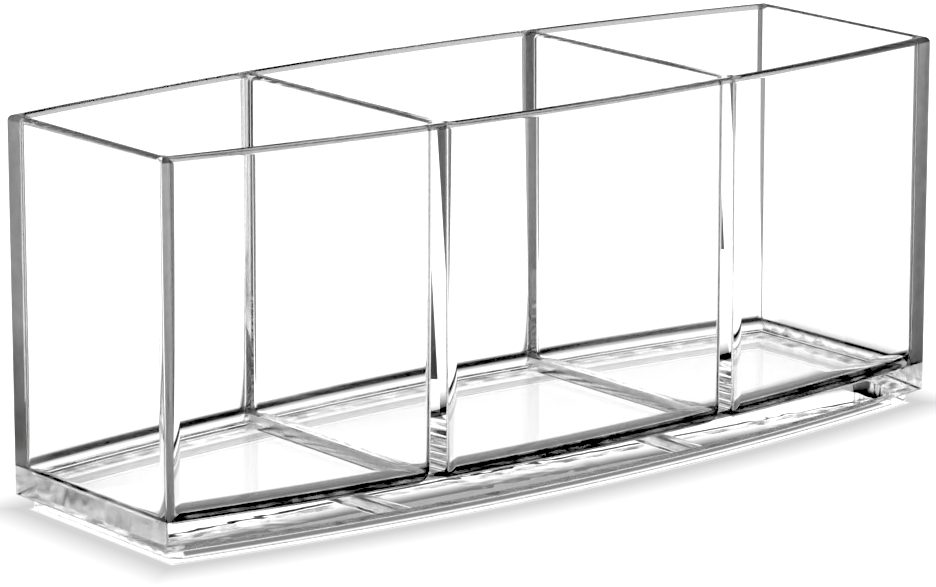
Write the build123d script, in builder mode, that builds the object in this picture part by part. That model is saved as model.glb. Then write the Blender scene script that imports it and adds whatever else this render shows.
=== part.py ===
import os
from math import sqrt

from build123d import *

# Driving dimensions, in millimetres
length = 235.0  # flat end to flat end
end_depth = 62.4  # front to back along a flat end
bow = 10.8  # how far the middle of the front and of the back stands out past the ends
height = 95.0  # table to rim
wall = 3.2  # front, back and end walls
divider_thickness = 3.9
divider_spacing = 88.0  # centre to centre
groove_depth = 0.8  # housing of a divider, or of a bowed wall's end, in the wall that holds it
groove_lip = 0.15  # a housing is wider than the flared edge of its divider by this on each side
inner_radius = 2.2  # upright inner corners, and where the walls run into the floor
rim_radius = 1.45  # rounding of each edge of the rim
foot_height = 3.5
foot_step = 2.7  # the foot stands this far inside the base
foot_width = 5.0
foot_corner = 3.0
base_thickness = 7.3
tray_depth = 0.8  # floor of each compartment below the top of the base
edge_break = 0.4  # lower edges of the base and foot

# Levels and places that follow from them
base_top = foot_height + base_thickness
floor_level = base_top - tray_depth
half_length = length / 2
half_end = end_depth / 2
half_depth = half_end + bow
divider_places = [(-divider_spacing / 2, 0), (divider_spacing / 2, 0)]
flare = inner_radius - sqrt(inner_radius**2 - (inner_radius - tray_depth) ** 2)
groove_width = divider_thickness + 2 * (flare + groove_lip)
end_reach = wall + inner_radius

os.makedirs("parts", exist_ok=True)

# Plan of the outside: two flat ends and two bows
with BuildSketch() as plan:
    with BuildLine():
        ThreePointArc((-half_length, -half_end), (0, -half_depth), (half_length, -half_end))
        Line((half_length, -half_end), (half_length, half_end))
        ThreePointArc((half_length, half_end), (0, half_depth), (-half_length, half_end))
        Line((-half_length, half_end), (-half_length, -half_end))
    make_face()

# Plan of the space inside the walls
with BuildSketch() as inside:
    offset(plan.sketch, amount=-wall, kind=Kind.INTERSECTION)

# Hollows of the three compartments, rounded at corners and floor
with BuildPart() as hollows:
    with BuildSketch(Plane.XY.offset(floor_level)):
        add(inside.sketch)
        with Locations(*divider_places):
            Rectangle(divider_thickness, 2 * half_depth, mode=Mode.SUBTRACT)
    extrude(amount=height - floor_level)
    fillet(hollows.edges() - hollows.edges().group_by(Axis.Z)[-1], radius=inner_radius)

# Whole tub, from which the bonded pieces are cut so that their faces meet
with BuildPart() as tub:
    with BuildSketch(Plane.XY.offset(foot_height)):
        add(plan.sketch)
    extrude(amount=height - foot_height)
    add(hollows.part, mode=Mode.SUBTRACT)
    fillet(tub.edges().group_by(Axis.Z)[-1], radius=rim_radius)
    chamfer(tub.edges().group_by(Axis.Z)[0], length=edge_break)

# Base slab with its three shallow trays
with BuildPart() as base:
    add(tub.part)
    split(bisect_by=Plane.XY.offset(base_top), keep=Keep.BOTTOM)
base.part.label = "base"
export_step(base.part, "parts/base.step")

# Foot ring under the base
with BuildPart() as foot_ring:
    with BuildSketch():
        offset(plan.sketch, amount=-foot_step, kind=Kind.INTERSECTION)
        fillet(vertices(), radius=foot_corner)
        offset(amount=-foot_width, mode=Mode.SUBTRACT)
    extrude(amount=foot_height)
    chamfer(foot_ring.edges().group_by(Axis.Z)[0], length=edge_break)
foot_ring.part.label = "foot_ring"
export_step(foot_ring.part, "parts/foot_ring.step")

# Walls above the base, all in one
with BuildPart() as walls:
    add(tub.part)
    split(bisect_by=Plane.XY.offset(base_top), keep=Keep.TOP)

# Plan of the right divider, with its flared edges in the grooves of the bowed walls
with BuildSketch() as divider_plan:
    offset(plan.sketch, amount=groove_depth - wall, kind=Kind.INTERSECTION)
    with Locations((divider_spacing / 2, 0)):
        Rectangle(groove_width, 2 * half_depth, mode=Mode.INTERSECT)

# Plan of the front wall, whose ends are housed in the end walls
inner_corner = inside.vertices().group_by(Axis.X)[-1].sort_by(Axis.Y)[-1]
bowed_reach = half_depth - inner_corner.Y + inner_radius - flare
with BuildSketch() as front_plan:
    add(plan.sketch)
    with Locations((0, bowed_reach / 2 - half_depth)):
        Rectangle(length - 2 * (wall - groove_depth), bowed_reach, mode=Mode.INTERSECT)
    add(divider_plan.sketch, mode=Mode.SUBTRACT)
    add(mirror(divider_plan.sketch, about=Plane.YZ, mode=Mode.PRIVATE), mode=Mode.SUBTRACT)

# Plan of the right end wall
with BuildSketch() as end_plan:
    add(plan.sketch)
    with Locations((half_length - end_reach / 2, 0)):
        Rectangle(end_reach, 2 * half_depth, mode=Mode.INTERSECT)
    add(front_plan.sketch, mode=Mode.SUBTRACT)
    add(mirror(front_plan.sketch, about=Plane.XZ, mode=Mode.PRIVATE), mode=Mode.SUBTRACT)

# The six pieces that stand on the base
upright_pieces = {
    "front_wall": front_plan.sketch,
    "back_wall": mirror(front_plan.sketch, about=Plane.XZ),
    "left_end_wall": mirror(end_plan.sketch, about=Plane.YZ),
    "right_end_wall": end_plan.sketch,
    "left_divider": mirror(divider_plan.sketch, about=Plane.YZ),
    "right_divider": divider_plan.sketch,
}
for name, piece_plan in upright_pieces.items():
    with BuildPart() as upright:
        with BuildSketch(Plane.XY.offset(base_top)):
            add(piece_plan)
        extrude(amount=height - base_top)
        add(walls.part, mode=Mode.INTERSECT)
    upright.part.label = name
    export_step(upright.part, f"parts/{name}.step")
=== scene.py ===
import math

import bmesh
import bpy
from mathutils import Matrix, Vector
from mathutils.bvhtree import BVHTree
from mathutils.interpolate import poly_3d_calc


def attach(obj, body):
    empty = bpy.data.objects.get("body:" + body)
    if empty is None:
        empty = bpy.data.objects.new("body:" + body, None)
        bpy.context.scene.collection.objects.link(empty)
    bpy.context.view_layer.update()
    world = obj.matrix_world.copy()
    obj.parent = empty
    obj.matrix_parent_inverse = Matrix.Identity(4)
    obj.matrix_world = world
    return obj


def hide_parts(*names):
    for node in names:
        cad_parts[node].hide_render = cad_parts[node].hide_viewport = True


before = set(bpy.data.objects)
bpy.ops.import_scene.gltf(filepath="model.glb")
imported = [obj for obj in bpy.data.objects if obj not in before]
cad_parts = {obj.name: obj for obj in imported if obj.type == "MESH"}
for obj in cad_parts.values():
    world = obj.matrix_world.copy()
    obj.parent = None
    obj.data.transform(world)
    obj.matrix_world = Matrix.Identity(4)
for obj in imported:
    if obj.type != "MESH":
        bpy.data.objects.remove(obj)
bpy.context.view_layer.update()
mm = 0.001
print("frame loaded,", len(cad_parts), "nodes")

# The holder's own measures, in millimetres, in the frame of the CAD
holder = {
    "halfLength": 117.5,
    "halfDepth": 41.976,
    "bow": 10.776,
    "height": 95.0,
    "wall": 3.2,
    "rimRound": 1.45,
    "outerCorner": 0.5,  # softening of the four upright outer edges
    "innerCorner": 2.2,
    "leastCorner": 0.02,  # no corner in plan is sharper
    "frontFoot": 6.4,  # rounding between the floor and the front wall
    "backFoot": 4.0,  # the same at the back wall
    "endFoot": 3.0,  # and at the ends and dividers
    "floorLevel": 8.6,
    "bondLevel": 10.8,  # where the walls stand on the base
    "dividerInner": 42.05,  # faces of the dividers towards the middle
    "dividerOuter": 45.86,  # faces towards the ends, at the rim
    "dividerDraft": 0.7,  # how much further out those faces are at the floor
    "support": 0.4,  # narrow rows beside each rounding keep the flats flat
}
arcRadius = (holder["halfLength"] ** 2 + holder["bow"] ** 2) / (2 * holder["bow"])
arcCentre = arcRadius - holder["halfDepth"]

# Camera, fitted to the photograph's corners, by which the set is laid out too
view = {
    "azimuth": 38.442, "elevation": 13.668,  # degrees
    "distance": 1184.635, "across": -4.649, "up": -6.766,  # millimetres
    "focal": 4866.779, "width": 936,  # focal length and width of the picture, in pixels
    "sensor": 36.0, "clipEnd": 100.0,
}

# Kinds of face, by their place in each piece's list of finishes
clearFace, bondFace, seamFace, footFace, mitreFace = range(5)


class Wire:  # a socket, with operators that add Math nodes
    def __init__(self, tree, socket=None):
        self.tree, self.socket = tree, socket

    def node(self, kind, settings=None, sockets=None, output=0):  # any other node
        made = self.tree.nodes.new(kind)
        for key, value in (settings or {}).items():
            setattr(made, key, value)
        for key, value in (sockets or {}).items():
            if isinstance(value, Wire):
                self.tree.links.new(value.socket, made.inputs[key])
            else:
                made.inputs[key].default_value = value
        return Wire(self.tree, made.outputs[output] if made.outputs else None)

    def math(self, operation, first, second=0.0):
        return self.node("ShaderNodeMath", {"operation": operation}, {0: first, 1: second})

    def __add__(self, other):
        return self.math("ADD", self, other)

    def __radd__(self, other):
        return self.math("ADD", other, self)

    def __sub__(self, other):
        return self.math("SUBTRACT", self, other)

    def __rsub__(self, other):
        return self.math("SUBTRACT", other, self)

    def __mul__(self, other):
        return self.math("MULTIPLY", self, other)

    def __rmul__(self, other):
        return self.math("MULTIPLY", other, self)

    def __pow__(self, other):
        return self.math("POWER", self, other)


def ramp(wire, start, finish, low=0.0, high=1.0, kind="SMOOTHSTEP"):
    return wire.node("ShaderNodeMapRange", {"interpolation_type": kind}, {
        "Value": wire, "From Min": start, "From Max": finish, "To Min": low, "To Max": high})


def along(vector, axis):  # a vector's share along one axis
    return vector.node("ShaderNodeSeparateXYZ", None, {0: vector}, axis)


def objectPlace(start):
    return start.node("ShaderNodeTexCoord", output="Object")


def newFinish(name):
    finish = bpy.data.materials.new(name)
    finish.use_nodes = True
    finish.node_tree.nodes.clear()
    return finish, Wire(finish.node_tree)


def surfaced(finish, shader):
    shader.node("ShaderNodeOutputMaterial", None, {"Surface": shader})
    return finish


def dress(mesh, finishes):
    for finish in finishes:
        mesh.materials.append(finish)


def placed(name, data):
    made = bpy.data.objects.new(name, data)
    bpy.context.scene.collection.objects.link(made)
    return made


# Plan outlines: two straight ends and two bows with rounded corners, as (x, y, normal x, normal y)
def edgePlaces(span, count):
    near = holder["support"]
    inner = [near + (span - 2 * near) * k / count for k in range(1, count)]
    return [near] + inner + [span - near]


def bowedOutline(left, right, grow, corner, steps):
    radius = arcRadius + grow
    corner = max(corner, holder["leastCorner"])

    def centre(end, side):
        x = end + corner if end == left else end - corner
        return x, side * (math.sqrt((radius - corner) ** 2 - x * x) - arcCentre)

    def turn(place, begin, finish):
        for k in range(steps["corner"] + 1):
            angle = begin + (finish - begin) * k / steps["corner"]
            nx, ny = math.cos(angle), math.sin(angle)
            points.append((place[0] + corner * nx, place[1] + corner * ny, nx, ny))

    points = []
    for side, begin, finish in ((-1, left, right), (1, right, left)):
        bowCentre = -side * arcCentre
        first, last = centre(begin, side), centre(finish, side)
        angleIn = math.atan2(first[1] - bowCentre, first[0]) % (2 * math.pi)
        angleOut = math.atan2(last[1] - bowCentre, last[0]) % (2 * math.pi)
        startTurn, endTurn = (math.pi, 2 * math.pi) if side < 0 else (0.0, math.pi)
        turn(first, startTurn, angleIn)
        span = (angleOut - angleIn) * radius
        for place in edgePlaces(span, steps["bow"]):
            angle = angleIn + place / radius
            nx, ny = math.cos(angle), math.sin(angle)
            points.append((radius * nx, bowCentre + radius * ny, nx, ny))
        turn(last, angleOut, endTurn)
        far = centre(finish, -side)
        span = abs(far[1] - last[1])
        outward = 1.0 if finish == right else -1.0
        for place in edgePlaces(span, steps["end"]):
            points.append((finish, last[1] - side * place, outward, 0.0))
    return points


class Shell:  # a mesh under construction whose vertices keep their true normals
    def __init__(self):
        self.bm = bmesh.new()
        self.normal = self.bm.verts.layers.float_vector.new("trueNormal")

    def ring(self, outline, z, flat, rise):  # flat, rise: the normals' share in plan and upward
        made = []
        for x, y, nx, ny, *lean in outline:
            vert = self.bm.verts.new((x * mm, y * mm, z * mm))
            lift = rise + abs(flat) * sum(lean)
            vert[self.normal] = Vector((nx * flat, ny * flat, lift)).normalized()
            made.append(vert)
        return made

    def skin(self, rings, finish=clearFace):
        for low, high in zip(rings, rings[1:]):
            for k in range(len(low)):
                n = (k + 1) % len(low)
                face = self.bm.faces.new((low[k], low[n], high[n], high[k]))
                face.material_index = finish

    def fill(self, loops, finish=clearFace):
        edges = []
        for loop in loops:
            for k in range(len(loop)):
                pair = (loop[k], loop[(k + 1) % len(loop)])
                edges.append(self.bm.edges.get(pair) or self.bm.edges.new(pair))
        made = bmesh.ops.triangle_fill(self.bm, edges=edges, use_beauty=True)
        for item in made["geom"]:
            if isinstance(item, bmesh.types.BMFace):
                item.material_index = finish

    def mesh(self, name):
        bmesh.ops.recalc_face_normals(self.bm, faces=self.bm.faces[:])
        made = bpy.data.meshes.new(name)
        self.bm.to_mesh(made)
        normals = [vert[self.normal].copy() for vert in self.bm.verts]
        self.bm.free()
        made.attributes.remove(made.attributes["trueNormal"])
        shadeTrue(made, lambda vertex, point: normals[vertex])
        return made


sharpTurn = 0.8  # cosine of the turn past which a face doesn't take on the true normal


def shadeTrue(mesh, lookup):  # joint faces and turns past a sharp edge stay flat
    loops = [None] * len(mesh.loops)
    for face in mesh.polygons:
        face.use_smooth = True
        for index in face.loop_indices:
            vertex = mesh.loops[index].vertex_index
            normal = face.normal
            if face.material_index == clearFace:
                found = lookup(vertex, mesh.vertices[vertex].co)
                if found.dot(face.normal) > sharpTurn:
                    normal = found
            loops[index] = normal.normalized()
    mesh.normals_split_custom_set(loops)


def roundRow(steps, begin=0.0, finish=90.0):
    return [math.radians(begin + (finish - begin) * k / steps) for k in range(steps + 1)]


# Outside of the walls and base
outside = {
    "steps": {"bow": 120, "corner": 5, "end": 8},
    "levels": (30.0, 50.0, 70.0),  # rows of faces up the walls
    "rimSteps": 12,
    "footRound": 0.5, "footSteps": 4,  # lower edge of the base
}


def outsideOutline(grow):
    reach = holder["halfLength"] + grow
    return bowedOutline(-reach, reach, grow, holder["outerCorner"] + grow, outside["steps"])


# Hollows of the three compartments
hollow = {
    "steps": {"bow": 40, "corner": 14, "end": 10},
    "levels": (75.0, 55.0, 35.0),
    "rimSteps": 12, "floorSteps": 16,
    "steepest": 89.9,  # degrees, short of upright so that its tangent stays finite
}
compartments = {  # side of the hollow with the drafted face, and what its divider is thicker by
    "left": {"lean": 1, "thicker": 0.08},
    "middle": {"lean": 0, "thicker": 0.0},
    "right": {"lean": -1, "thicker": -0.08},
}


def footTurn(z, radius):  # inset and angle of a rounded foot at a level
    drop = min(1.0, max(0.0, (holder["floorLevel"] + radius - z) / radius))
    angle = min(math.asin(drop), math.radians(hollow["steepest"]))
    return radius * (1 - math.cos(angle)), angle


def hollowOutline(which, z, grow):
    depth, draft = holder["height"] - holder["floorLevel"], holder["dividerDraft"]
    share, slope = (holder["height"] - z) / depth, draft / depth
    lean, thicker = compartments[which]["lean"], compartments[which]["thicker"]
    frontInset, frontAngle = footTurn(z, holder["frontFoot"])
    backInset, backAngle = footTurn(z, holder["backFoot"])
    endInset, endAngle = footTurn(z, holder["endFoot"])
    side = grow - endInset
    inner = holder["dividerInner"] + side
    outer = holder["dividerOuter"] + draft * share - side + thicker
    end = holder["halfLength"] - holder["wall"] + side
    spans = {"left": (-end, -outer), "middle": (-inner, inner), "right": (outer, end)}
    bowGrow = grow - frontInset - holder["wall"]
    leaning = []
    for x, y, nx, ny in bowedOutline(
            *spans[which], bowGrow, holder["innerCorner"] + side, hollow["steps"]):
        bowAngle = backAngle if ny > 0 else frontAngle
        turn = math.tan(endAngle * nx * nx + bowAngle * ny * ny)
        y += frontInset - backInset if y > 0 else 0.0
        leaning.append((x, y, nx, ny, turn + slope * max(0.0, nx * lean)))
    return leaning


def hollowLevels(which):  # from the rim down to the floor: outline, level, flat and rise
    rim, top, low = holder["rimRound"], holder["height"], holder["floorLevel"]
    front, near = holder["frontFoot"], holder["support"]
    rows = []
    for angle in roundRow(hollow["rimSteps"], 90, 0):
        flat, rise = -math.cos(angle), math.sin(angle)
        rows.append((rim * (1 + flat), top - rim + rim * rise, flat, rise))
    levels = [top - rim - near, *hollow["levels"], low + front + near]
    radii = [front, holder["backFoot"], holder["endFoot"], 0.0]
    for radius, until in zip(radii, radii[1:]):
        begin, finish = [math.asin((front - one) / front) for one in (radius, until)]
        for k in range(hollow["floorSteps"]):
            angle = begin + (finish - begin) * k / hollow["floorSteps"]
            levels.append(low + front * (1 - math.sin(angle)))
    levels = sorted(levels + [holder["bondLevel"], low], reverse=True)
    rows += [(0.0, z, -1.0, 0.0) for z in levels]
    bondRow = hollow["rimSteps"] + 1 + levels.index(holder["bondLevel"])
    return [(hollowOutline(which, z, grow), z, flat, rise) for grow, z, flat, rise in rows], bondRow


# Foot ring under the base
foot = {
    "step": 2.7, "width": 5.0, "level": 3.5,
    "corner": 3.0, "innerCorner": 0.8,
    "edge": 0.4, "edgeSteps": 4, "support": 0.3,
}


def footOutline(inset, corner):
    reach = holder["halfLength"] - foot["step"] - inset
    return bowedOutline(-reach, reach, -foot["step"] - inset, corner, outside["steps"])


def makeFoot():
    shell = Shell()
    edge, level, width = foot["edge"], foot["level"], foot["width"]
    heights = (level, level - foot["support"], edge + foot["support"])
    rings = [shell.ring(footOutline(0, foot["corner"]), z, 1, 0) for z in heights]
    for angle in roundRow(foot["edgeSteps"]):
        flat, drop = math.cos(angle), math.sin(angle)
        inset = edge * (1 - flat)
        outline = footOutline(inset, foot["corner"] - inset)
        rings.append(shell.ring(outline, edge * (1 - drop), flat, -drop))
    for angle in roundRow(foot["edgeSteps"], 90, 0):
        flat, drop = math.cos(angle), math.sin(angle)
        inset = width - edge * (1 - flat)
        outline = footOutline(inset, foot["innerCorner"] + width - inset)
        rings.append(shell.ring(outline, edge * (1 - drop), -flat, -drop))
    for z in reversed(heights):
        rings.append(shell.ring(footOutline(width, foot["innerCorner"]), z, -1, 0))
    shell.skin(rings)
    shell.skin([rings[-1], rings[0]], finish=footFace)
    return shell.mesh("foot_ring")


def makeBase():
    shell = Shell()
    level, edge = foot["level"], outside["footRound"]
    heights = (holder["bondLevel"], level + edge + holder["support"])
    rings = [shell.ring(outsideOutline(0), z, 1, 0) for z in heights]
    for angle in roundRow(outside["footSteps"]):
        flat, drop = math.cos(angle), math.sin(angle)
        outline = outsideOutline(edge * (flat - 1))
        rings.append(shell.ring(outline, level + edge * (1 - drop), flat, -drop))
    footEdge = shell.ring(footOutline(0, foot["corner"]), level, 0, -1)
    footInner = shell.ring(footOutline(foot["width"], foot["innerCorner"]), level, 0, -1)
    shell.skin(rings + [footEdge])
    shell.skin([footEdge, footInner], finish=footFace)
    shell.fill([footInner])
    bondLoops = [rings[0]]
    for which in compartments:
        levels, bondRow = hollowLevels(which)
        rows = [shell.ring(*row) for row in levels[bondRow:]]
        shell.skin(rows)
        shell.fill([rows[-1]])
        bondLoops.append(rows[0])
    shell.fill(bondLoops, finish=seamFace)
    return shell.mesh("base")


def makeWalls():  # all the walls and dividers as one body, cut into pieces afterwards
    shell = Shell()
    rim, top = holder["rimRound"], holder["height"]
    heights = (holder["bondLevel"], *outside["levels"], top - rim - holder["support"])
    rings = [shell.ring(outsideOutline(0), z, 1, 0) for z in heights]
    for angle in roundRow(outside["rimSteps"]):
        flat, rise = math.cos(angle), math.sin(angle)
        outline = outsideOutline(rim * (flat - 1))
        rings.append(shell.ring(outline, top - rim + rim * rise, flat, rise))
    shell.skin(rings)
    bondLoops, rimLoops = [rings[0]], [rings[-1]]
    for which in compartments:
        levels, bondRow = hollowLevels(which)
        rows = [shell.ring(*row) for row in levels[: bondRow + 1]]
        shell.skin(rows)
        rimLoops.append(rows[0])
        bondLoops.append(rows[-1])
    shell.fill(rimLoops)
    shell.fill(bondLoops, finish=seamFace)
    return shell.mesh("walls")


# Where the walls part: mitred at the corners, with the dividers housed in grooves
joints = {
    "mitreOut": 3.0, "mitreIn": 0.8,  # how far a mitre's cut runs past the wall, in its own lengths
    "grooveDepth": 0.8, "grooveLip": 0.65,
    "cornerFrom": 100.0,  # joints further along than this are mitres
    "before": 60.0, "above": 120.0,  # the cuts reach past the holder
}


def bowDepth(x, grow):
    return math.sqrt((arcRadius + grow) ** 2 - x * x) - arcCentre


def cutPlans():
    end, side = holder["halfLength"], holder["halfLength"] - holder["wall"]
    corner = Vector((end, -bowDepth(end, 0.0)))
    mitre = Vector((side, -bowDepth(side, -holder["wall"]))) - corner
    out, inward = corner - mitre * joints["mitreOut"], corner + mitre * (1 + joints["mitreIn"])
    near = holder["dividerInner"] - joints["grooveLip"]
    far = holder["dividerOuter"] + holder["dividerDraft"] + joints["grooveLip"]
    grooveNear = bowDepth(near, joints["grooveDepth"] - holder["wall"])
    grooveFar = bowDepth(far, joints["grooveDepth"] - holder["wall"])
    front = [(-out.x, -joints["before"]), (out.x, -joints["before"]), tuple(out), tuple(inward)]
    notch = [(far, inward.y), (far, -grooveFar), (near, -grooveNear), (near, inward.y)]
    front += notch + [(-x, y) for x, y in reversed(notch)]
    front += [(-inward.x, inward.y), (-out.x, out.y)]
    right = [tuple(inward), tuple(out), (out.x, -out.y), (inward.x, -inward.y)]
    divider = [(near, -grooveNear), (far, -grooveFar), (far, grooveFar), (near, grooveNear)]
    return {
        "front_wall": front,
        "back_wall": [(x, -y) for x, y in reversed(front)],
        "right_end_wall": right,
        "left_end_wall": [(-x, y) for x, y in reversed(right)],
        "right_divider": divider,
        "left_divider": [(-x, y) for x, y in reversed(divider)],
    }


def cutter(plan):
    bm = bmesh.new()
    low = [bm.verts.new((x * mm, y * mm, 0.0)) for x, y in plan]
    high = [bm.verts.new((x * mm, y * mm, joints["above"] * mm)) for x, y in plan]
    bm.faces.new(low)
    bm.faces.new(high)
    for k in range(len(plan)):
        n = (k + 1) % len(plan)
        bm.faces.new((low[k], low[n], high[n], high[k]))
    bmesh.ops.recalc_face_normals(bm, faces=bm.faces[:])
    for face in bm.faces:
        face.material_index = bondFace
    made = bpy.data.meshes.new("cutter")
    bm.to_mesh(made)
    bm.free()
    return made


def cutWalls(walls, finishes):
    points = [vertex.co.copy() for vertex in walls.vertices]
    clear = [face for face in walls.polygons if face.material_index == clearFace]
    corners = [list(face.vertices) for face in clear]
    normals = [[walls.corner_normals[k].vector.copy() for k in face.loop_indices] for face in clear]
    tree = BVHTree.FromPolygons(points, corners)

    def lookup(vertex, point):  # true normal of the uncut walls nearest to a point
        place, _, index, _ = tree.find_nearest(point)
        weights = poly_3d_calc([points[k] for k in corners[index]], place)
        total = Vector()
        for weight, one in zip(weights, normals[index]):
            total += one * weight
        return total.normalized()

    dress(walls, finishes)
    made = {}
    for name, plan in cutPlans().items():
        body, tool = placed("body", walls), placed("tool", cutter(plan))
        dress(tool.data, finishes)
        cut = body.modifiers.new("cut", "BOOLEAN")
        cut.operation, cut.solver, cut.object = "INTERSECT", "EXACT", tool
        cut.material_mode = "INDEX"
        bpy.context.view_layer.update()
        result = body.evaluated_get(bpy.context.evaluated_depsgraph_get())
        piece = bpy.data.meshes.new_from_object(result)
        piece.name = name
        bpy.data.objects.remove(body)
        bpy.data.objects.remove(tool)
        for face in piece.polygons:
            atCorner = abs(face.center.x) > joints["cornerFrom"] * mm
            if face.material_index == bondFace and atCorner:
                face.material_index = mitreFace
        shadeTrue(piece, lookup)
        made[name] = piece
    return made


# Clear finishes of the walls and of the base
acrylic = {
    "clear": 0.997, "ior": 1.49,
    "waveScale": 22.0, "waveDetail": 1.0, "waveDepth": 0.00002, "rough": 0.004,
    "slant": (0.10, 0.25),  # product of a normal's shares from which a face is a rounding
    "rim": (0.080, 0.090),  # height from which it is the rim's
    "softTo": (0.108, 0.104),  # the foot's rounding at the right end, past this x, keeps its polish
    "turned": 0.2, "rimPaintedShade": 0.8,  # roughness of roundings, and painted shade that greys the bowed walls' rims
}
ripple = {  # moulding ripples on the base
    "across": 260.0, "up": 40.0,
    "frontDepth": 0.00005, "leftDepth": 0.0007, "underDepth": 0.00003, "leftRough": 0.22,
    "facing": (-0.6, -0.9),  # share of a normal from which a face is on that side
    "patches": [(-0.082, 0.022), (-0.002, 0.020), (0.085, 0.016)],  # in front: middle, half width
    "full": 0.6,  # share of a patch's width with the full ripple
}


def clearFinish(name, look, rippled=None):
    finish, start = newFinish(name)
    place = objectPlace(start)
    facing = start.node("ShaderNodeNewGeometry", output="Normal")
    sideways, onward, upward = [along(facing, axis) for axis in "XYZ"]
    x, z = along(place, "X"), along(place, "Z")
    wave = start.node("ShaderNodeTexNoise", None, {
        "Vector": place, "Scale": look["waveScale"], "Detail": look["waveDetail"]})
    height = wave * look["waveDepth"]
    rim = ramp(z, *look["rim"])
    endTurn = ramp(start.math("ABSOLUTE", sideways * upward), *look["slant"])
    bowRim = ramp(start.math("ABSOLUTE", onward * upward), *look["slant"]) * rim
    turned = endTurn * ramp(x - rim, *look["softTo"]) + bowRim
    rough = wave * look["rough"] + turned * look["turned"]
    if rippled:
        stretch = {0: place, 1: (rippled["across"], rippled["across"], rippled["up"])}
        drawn = start.node("ShaderNodeVectorMath", {"operation": "MULTIPLY"}, stretch)
        rib = start.node("ShaderNodeTexNoise", None, {"Vector": drawn, "Scale": 1.0, "Detail": 0.0})
        left, front, under = [ramp(one, *rippled["facing"]) for one in (sideways, onward, upward)]
        where = 0.0
        for middle, half in rippled["patches"]:
            off = start.math("ABSOLUTE", x - middle)
            where = where + ramp(off, half, half * rippled["full"])
        where = where * (front * rippled["frontDepth"] + under * rippled["underDepth"])
        height = height + rib * (where + left * rippled["leftDepth"])
        rough = rough + left * rippled["leftRough"]
    bump = start.node("ShaderNodeBump", None, {"Strength": 1.0, "Distance": 1.0, "Height": height})
    # The bowed walls' rims are darkened in the base colour: painted shade
    shader = start.node("ShaderNodeBsdfPrincipled", None, {
        "Base Color": look["clear"] - bowRim * look["rimPaintedShade"], "Roughness": rough,
        "IOR": look["ior"], "Transmission Weight": 1.0, "Normal": bump})
    return surfaced(finish, shader)


# Bond of the dividers in their grooves, which doesn't show
clearBond = {"colour": (0.995, 0.998, 0.997, 1.0), "alpha": 0.0}


def bondFinish(look):
    finish, start = newFinish("clear_bond")
    return surfaced(finish, start.node("ShaderNodeBsdfPrincipled", None, {
        "Base Color": look["colour"], "Alpha": look["alpha"]}))


# Cemented joints, grey and uneven near the outside of the holder
cement = {"detail": 2.0, "patch": (0.3, 0.7), "fade": 0.001}
mitreCement = {
    "colour": 0.65, "front": 0.95, "frontTo": (0.03, -0.03),  # paler at the front corners: painted light
    "least": 0.72, "most": 0.92, "scale": 160.0, "reach": 0.003,
}
footCement = {
    "colour": (0.80, 0.80, 0.80, 1.0),
    "least": 0.15, "most": 0.80, "scale": 200.0, "reach": 0.009,
}
seamCement = {
    "colour": (0.05, 0.05, 0.05, 1.0),
    "least": 0.60, "most": 0.90, "scale": 160.0, "reach": 0.008,
}


def outsidePlan(start, place):  # how far a place is outside each bow and each end
    x, y = along(place, "X"), along(place, "Y")
    past = {"y": y}
    for name, side in (("back", 1), ("front", -1)):
        off = y + side * arcCentre * mm
        past[name] = (x * x + off * off) ** 0.5 - arcRadius * mm
    past["right"] = x - holder["halfLength"] * mm
    past["left"] = -1.0 * x - holder["halfLength"] * mm
    past["near"] = start.math("MAXIMUM", past["front"], past["left"])
    past["far"] = start.math("MAXIMUM", past["back"], past["right"])
    past["any"] = start.math("MAXIMUM", past["near"], past["far"])
    return past


def cementFinish(name, look):
    finish, start = newFinish(name)
    place = objectPlace(start)
    past = outsidePlan(start, place)
    patch = start.node("ShaderNodeTexNoise", None, {
        "Vector": place, "Scale": look["scale"], "Detail": cement["detail"]})
    film = ramp(patch, *cement["patch"], look["least"], look["most"])
    film = film * ramp(past["any"], -look["reach"] - cement["fade"], -look["reach"])
    colour = look["colour"]
    # The cement at the front corners is painted paler than at the back: painted light
    if "front" in look:
        colour = ramp(past["y"], *look["frontTo"], colour, look["front"])
    return surfaced(finish, start.node("ShaderNodeBsdfPrincipled", None, {
        "Base Color": colour, "Roughness": 1.0, "Specular IOR Level": 0.0, "Alpha": film}))


# The eight pieces
jointFinishes = [
    bondFinish(clearBond),
    cementFinish("seam_cement", seamCement),
    cementFinish("foot_cement", footCement),
    cementFinish("mitre_cement", mitreCement),
]
wallFinishes = [clearFinish("clear_acrylic_wall", acrylic)] + jointFinishes
baseFinishes = [clearFinish("clear_acrylic_base", acrylic, ripple)] + jointFinishes
meshes = {"foot_ring": makeFoot(), "base": makeBase()}
for mesh in meshes.values():
    dress(mesh, baseFinishes)
meshes.update(cutWalls(makeWalls(), wallFinishes))
for name, mesh in meshes.items():
    piece = placed(name + "_clear", mesh)
    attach(piece, "root")
    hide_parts(name)
    print(name, len(mesh.polygons), "faces")

# Light table: a plain pale sheet that glows, with a painted soft shadow round the holder
table = {
    "half": 4.0, "squares": 8, "level": 1.3,
    "shade": 0.52, "reach": 0.042, "under": (-0.004, -0.002),  # no painted shadow further in than this
}


def glowFinish(name, shade):  # shade: what gives the glow's colour in a new node tree
    finish, start = newFinish(name)
    return surfaced(finish, start.node("ShaderNodeEmission", None, {"Color": shade(start)}))


def tablePaintedShadow(start):
    outward = outsidePlan(start, objectPlace(start))["any"]
    # Painted shadow: the glow is dimmed close round the holder's outline
    around = ramp(outward, 0.0, table["reach"], 1.0, 0.0, "LINEAR") ** 2
    around = around * ramp(outward, *table["under"])
    return table["level"] * (1.0 - table["shade"] * around)


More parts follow.
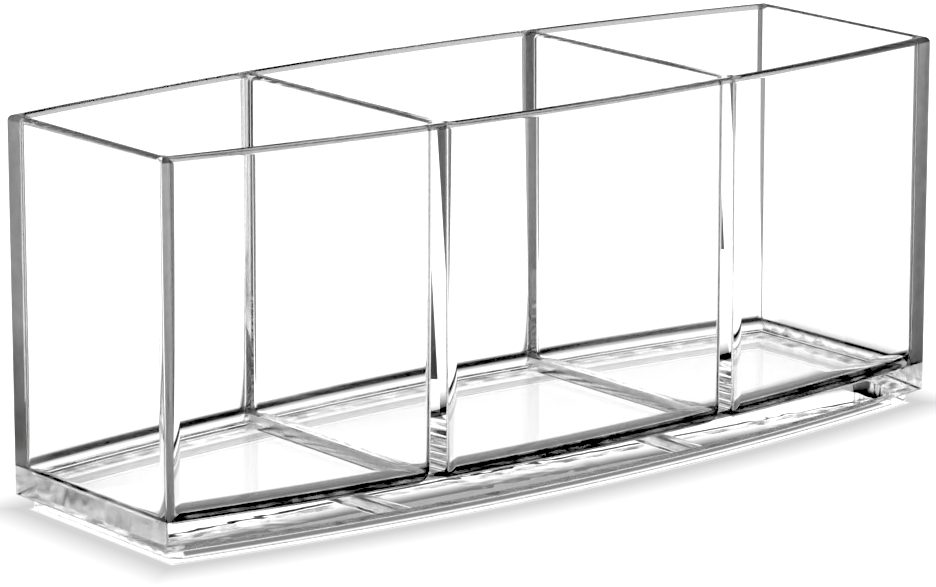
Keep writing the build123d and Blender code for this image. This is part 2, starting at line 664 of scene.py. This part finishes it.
def layTable(look):
    bm = bmesh.new()
    squares = look["squares"]
    bmesh.ops.create_grid(bm, x_segments=squares, y_segments=squares, size=look["half"])
    mesh = bpy.data.meshes.new("table")
    bm.to_mesh(mesh)
    bm.free()
    dress(mesh, [glowFinish("pale_table", tablePaintedShadow)])
    placed("table", mesh)


layTable(table)
print("table laid")

# Dark cards that stand round the set, out of the picture, and give the clear walls their dark edges
cards = {
    "height": 0.5,
    "sides": {  # tone, and both ends on the table: away from the camera, across
        "left": (0.10, [(-0.03, -0.119), (1.1, -0.226)]),
        "right": (0.27, [(0.03, 0.113), (1.1, 0.212)]),
        "back": (0.40, [(0.85, -0.6), (0.85, 0.6)]),
    },
}


def hiddenStage(name, points, faces, finish):
    mesh = bpy.data.meshes.new(name)
    mesh.from_pydata(points, [], faces)
    dress(mesh, [finish])
    made = placed(name, mesh)
    made.visible_camera = False
    return made


def standCards(look, turn):
    away = Vector((math.sin(turn), math.cos(turn), 0.0))
    across = Vector((math.cos(turn), -math.sin(turn), 0.0))
    lift = Vector((0.0, 0.0, look["height"]))
    for side, (tone, line) in look["sides"].items():
        name = side + "_card"
        begin, end = [away * f + across * r for f, r in line]
        finish = glowFinish(name, lambda start: (tone, tone, tone, 1.0))
        hiddenStage(name, [begin, end, end + lift, begin + lift], [(0, 1, 2, 3)], finish)


standCards(cards, math.radians(view["azimuth"]))
print("cards stood")

# Dark films on the table, out of the picture, that the clear edges draw from: painted shadows round
# the holder
film = {
    "lift": 0.0001, "half": 0.2, "tone": 0.01,
    "bands": [  # side, where the painted shadow begins and ends outside that side of the holder, how dark
        ("far", (0.004, 0.008), (0.020, 0.040), 0.97),
        ("front", (-0.005, -0.003), (0.001, 0.003), 0.75),
        ("front", (-0.034, -0.028), (-0.010, -0.008), 0.8),
    ],
}
veil = {  # a dark film in front as well, seen only in reflections, which it keeps off the walls
    "lift": 0.0002, "half": 0.25, "tone": 0.01,
    "bands": [("near", (0.025, 0.035), (0.13, 0.17), 0.85)],
}


def layFilm(name, look):
    finish, start = newFinish(name)
    past = outsidePlan(start, objectPlace(start))
    bareShare = 1.0
    for side, begin, end, dark in look["bands"]:
        band = ramp(past[side], *begin) * ramp(past["any"], *end, 1.0, 0.0)
        bareShare = bareShare * (1.0 - dark * band)
    bare = start.node("ShaderNodeBsdfTransparent")
    colour = (look["tone"], look["tone"], look["tone"], 1.0)
    dark = start.node("ShaderNodeBsdfDiffuse", None, {"Color": colour})
    surfaced(finish, start.node("ShaderNodeMixShader", None, {0: bareShare, 1: dark, 2: bare}))
    half, lift = look["half"], look["lift"]
    corners = [(-half, -half, lift), (half, -half, lift), (half, half, lift), (-half, half, lift)]
    return hiddenStage(name, corners, [(0, 1, 2, 3)], finish)


# Painted shadows behind the holder, along its front foot and under the base, on a sheet hidden from
# the camera
layFilm("painted_shadow_film", film)
reflected = layFilm("veil_film", veil)
reflected.visible_transmission = reflected.visible_diffuse = False
print("films laid")

# Low white strip behind the base that keeps it bright
strip = {
    "away": 2.0, "facing": 0.5,  # millimetres from the walls that face the back or the right
    "height": 0.0084, "bright": 0.0045,  # brightest up to here, dimmest at the top
    "dim": 0.2, "level": 1.3,
}


def stripShade(start):
    z = along(objectPlace(start), "Z")
    return ramp(z, strip["height"], strip["bright"], strip["dim"], strip["level"])


def standStrip(look):
    outline = outsideOutline(look["away"])
    line = [(x * mm, y * mm) for x, y, nx, ny in outline if max(nx, ny) > look["facing"]]
    points = [(x, y, z) for z in (0.0, look["height"]) for x, y in line]
    count = len(line)
    faces = [(k, k + 1, count + k + 1, count + k) for k in range(count - 1)]
    hiddenStage("strip", points, faces, glowFinish("white_strip", stripShade))


standStrip(strip)
print("strip stood")

# Soft studio light: an even glow and broad cards, each a direction as the camera sees it
studio = {
    "glow": 0.06,
    "cards": [  # azimuth from straight behind the holder towards the right, all in degrees
        {"azimuth": 185, "elevation": 16, "edge": 42, "core": 22, "level": 1.0},
        {"azimuth": 240, "elevation": 78, "edge": 28, "core": 12, "level": 0.9},
    ],
}


def studioLight(look, turn):
    world = bpy.data.worlds.new("studio")
    bpy.context.scene.world = world
    world.use_nodes = True
    world.node_tree.nodes.clear()
    start = Wire(world.node_tree)
    ray = start.node("ShaderNodeTexCoord", output="Generated")
    total = look["glow"]
    for card in look["cards"]:
        azimuth, rise = math.radians(turn + card["azimuth"]), math.radians(card["elevation"])
        flat = math.cos(rise)
        facing = (math.sin(azimuth) * flat, math.cos(azimuth) * flat, math.sin(rise))
        near = start.node(
            "ShaderNodeVectorMath", {"operation": "DOT_PRODUCT"}, {0: ray, 1: facing}, "Value")
        edge, core = [math.cos(math.radians(card[key])) for key in ("edge", "core")]
        total = total + ramp(near, edge, core) * card["level"]
    shade = start.node("ShaderNodeBackground", None, {"Strength": total})
    start.node("ShaderNodeOutputWorld", None, {"Surface": shade})


studioLight(studio, view["azimuth"])
print("studio light set")


# Camera
def standCamera(look):
    azimuth, rise = math.radians(look["azimuth"]), math.radians(look["elevation"])
    flat = math.cos(rise)
    back = Vector((-math.sin(azimuth) * flat, -math.cos(azimuth) * flat, math.sin(rise)))
    right = Vector((math.cos(azimuth), -math.sin(azimuth), 0.0))
    up = back.cross(right)
    target = right * look["across"] + up * look["up"] + Vector((0, 0, holder["height"] / 2))
    stand = (target + back * look["distance"]) * mm
    lens = bpy.data.cameras.new("camera")
    lens.sensor_width = look["sensor"]
    lens.lens = look["focal"] / look["width"] * look["sensor"]
    lens.clip_end = look["clipEnd"]
    camera = placed("camera", lens)
    rows = [(right[k], up[k], back[k], stand[k]) for k in range(3)]
    camera.matrix_world = Matrix(rows + [(0, 0, 0, 1)])
    bpy.context.scene.camera = camera


standCamera(view)
print("camera stood")

# Picture settings
picture = {"black": 0.08, "white": 0.90, "clearBounces": 48, "diffuseBounces": 2, "layers": 64}


def setPicture(look):
    shown, cycles = bpy.context.scene.view_settings, bpy.context.scene.cycles
    shown.view_transform = "Standard"
    shown.use_curve_mapping = True
    shown.curve_mapping.black_level = [look["black"]] * 3
    shown.curve_mapping.white_level = [look["white"]] * 3
    shown.curve_mapping.update()
    cycles.max_bounces = look["clearBounces"]
    cycles.transmission_bounces = look["clearBounces"]
    cycles.glossy_bounces = look["clearBounces"]
    cycles.diffuse_bounces = look["diffuseBounces"]
    cycles.transparent_max_bounces = look["layers"]
    cycles.blur_glossy = 0.0


setPicture(picture)
print("picture set")
